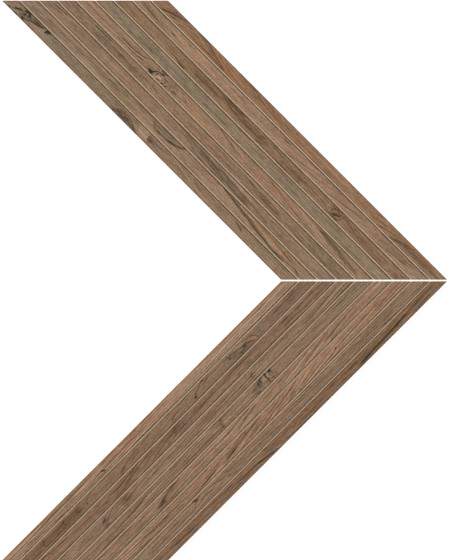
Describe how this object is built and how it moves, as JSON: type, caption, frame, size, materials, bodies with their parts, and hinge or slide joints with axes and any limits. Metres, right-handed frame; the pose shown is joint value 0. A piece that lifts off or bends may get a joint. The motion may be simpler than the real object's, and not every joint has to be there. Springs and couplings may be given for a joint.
{
  "type": "chevron wall tile",
  "caption": "Wood-look chevron wall tile: mirrored banks of narrow mitred ceramic strips on a backing net, with pale recessed joints and a pointed nose.",
  "frame": {"origin": "middle of the outline, on the underside of the backing net", "axes": "+Z out of the decorated face, +X towards the chevron's nose, +Y towards the upper bank's mitred end; the tile lies on its back"},
  "size_m": [0.671, 0.844, 0.01],
  "materials": {
    "strip": "matt wood-look porcelain",
    "filler": "matt cement joint filler",
    "net": "coated glass-fibre net"
  },
  "bodies": {
    "root": {"upper_strip_1": "strip", "upper_strip_2": "strip", "upper_strip_3": "strip", "upper_strip_4": "strip", "upper_strip_5": "strip", "upper_strip_6": "strip", "upper_strip_7": "strip", "upper_strip_8": "strip", "upper_strip_9": "strip", "lower_strip_1": "strip", "lower_strip_2": "strip", "lower_strip_3": "strip", "lower_strip_4": "strip", "lower_strip_5": "strip", "lower_strip_6": "strip", "lower_strip_7": "strip", "lower_strip_8": "strip", "lower_strip_9": "strip", "joint_filler_upper": "filler", "joint_filler_lower": "filler", "backing_net": "net"}
  },
  "joints": []
}
